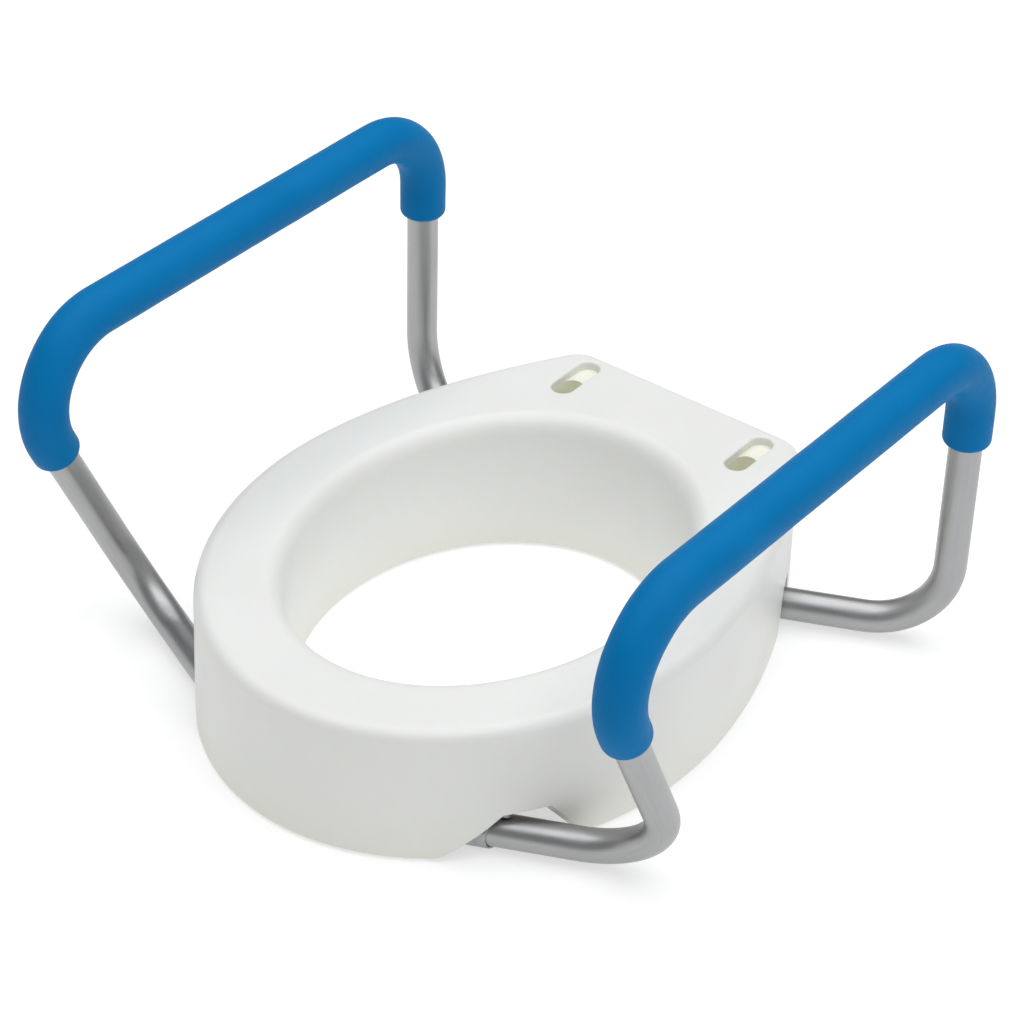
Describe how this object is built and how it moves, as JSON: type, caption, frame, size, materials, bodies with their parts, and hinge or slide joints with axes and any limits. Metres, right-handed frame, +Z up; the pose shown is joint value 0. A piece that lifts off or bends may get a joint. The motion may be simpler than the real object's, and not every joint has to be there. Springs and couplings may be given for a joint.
{
  "type": "raised toilet seat",
  "caption": "Moulded white riser seat with an oval opening, two rear bolt slots and bent tube armrests with blue foam grips that pull out of sockets under the seat.",
  "frame": {"origin": "centre of the bounding box on the surface the feet rest on", "axes": "+Z up, -Y towards the front of the seat (the user faces -Y), +X to the side, across the two arms"},
  "size_m": [0.4844, 0.446, 0.2614],
  "materials": {
    "white_plastic": "satin moulded polyethylene",
    "blue_foam": "soft closed-cell foam, satin skin",
    "aluminium": "satin anodised tube",
    "socket_steel": "dull zinc-plated steel",
    "screw_steel": "zinc-plated",
    "grey_plastic": "matt moulded nylon",
    "grey_rubber": "matt rubber"
  },
  "bodies": {
    "seat": {"seat_shell": "white_plastic", "front_right_foot": "grey_rubber", "front_left_foot": "grey_rubber", "side_right_foot": "grey_rubber", "side_left_foot": "grey_rubber", "front_right_socket": "socket_steel", "front_right_screw_1": "screw_steel", "front_right_screw_2": "screw_steel", "front_right_clamp_nut": "screw_steel", "front_left_socket": "socket_steel", "front_left_screw_1": "screw_steel", "front_left_screw_2": "screw_steel", "front_left_clamp_nut": "screw_steel", "rear_right_socket": "socket_steel", "rear_right_screw_1": "screw_steel", "rear_right_screw_2": "screw_steel", "rear_right_clamp_nut": "screw_steel", "rear_left_socket": "socket_steel", "rear_left_screw_1": "screw_steel", "rear_left_screw_2": "screw_steel", "rear_left_clamp_nut": "screw_steel"},
    "right_arm": {"right_arm_tube": "aluminium", "right_grip": "blue_foam", "front_right_end_plug": "grey_plastic", "rear_right_end_plug": "grey_plastic"},
    "left_arm": {"left_arm_tube": "aluminium", "left_grip": "blue_foam", "front_left_end_plug": "grey_plastic", "rear_left_end_plug": "grey_plastic"},
    "front_right_clamp": {"front_right_clamp_screw": "screw_steel", "front_right_clamp_knob": "grey_plastic"},
    "front_left_clamp": {"front_left_clamp_screw": "screw_steel", "front_left_clamp_knob": "grey_plastic"},
    "rear_right_clamp": {"rear_right_clamp_screw": "screw_steel", "rear_right_clamp_knob": "grey_plastic"},
    "rear_left_clamp": {"rear_left_clamp_screw": "screw_steel", "rear_left_clamp_knob": "grey_plastic"}
  },
  "joints": [
    {"name": "right_arm_slide", "type": "slide", "parent": "seat", "child": "right_arm", "axis": [0.9078, 0.4195, 0], "range_m": [0, 0.055]},
    {"name": "left_arm_slide", "type": "slide", "parent": "seat", "child": "left_arm", "axis": [-0.9078, 0.4195, 0], "range_m": [0, 0.055]},
    {"name": "front_right_clamp_turn", "type": "hinge", "parent": "seat", "child": "front_right_clamp", "pos_m": [0.08261, -0.14645, 0.0136], "axis": [-0.4195, 0.9078, 0], "range_deg": [0, 720]},
    {"name": "front_left_clamp_turn", "type": "hinge", "parent": "seat", "child": "front_left_clamp", "pos_m": [-0.08261, -0.14645, 0.0136], "axis": [0.4195, 0.9078, 0], "range_deg": [0, 720]},
    {"name": "rear_right_clamp_turn", "type": "hinge", "parent": "seat", "child": "rear_right_clamp", "pos_m": [0.09729, 0.12765, 0.0136], "axis": [0.4195, -0.9078, 0], "range_deg": [0, 720]},
    {"name": "rear_left_clamp_turn", "type": "hinge", "parent": "seat", "child": "rear_left_clamp", "pos_m": [-0.09729, 0.12765, 0.0136], "axis": [-0.4195, -0.9078, 0], "range_deg": [0, 720]}
  ]
}
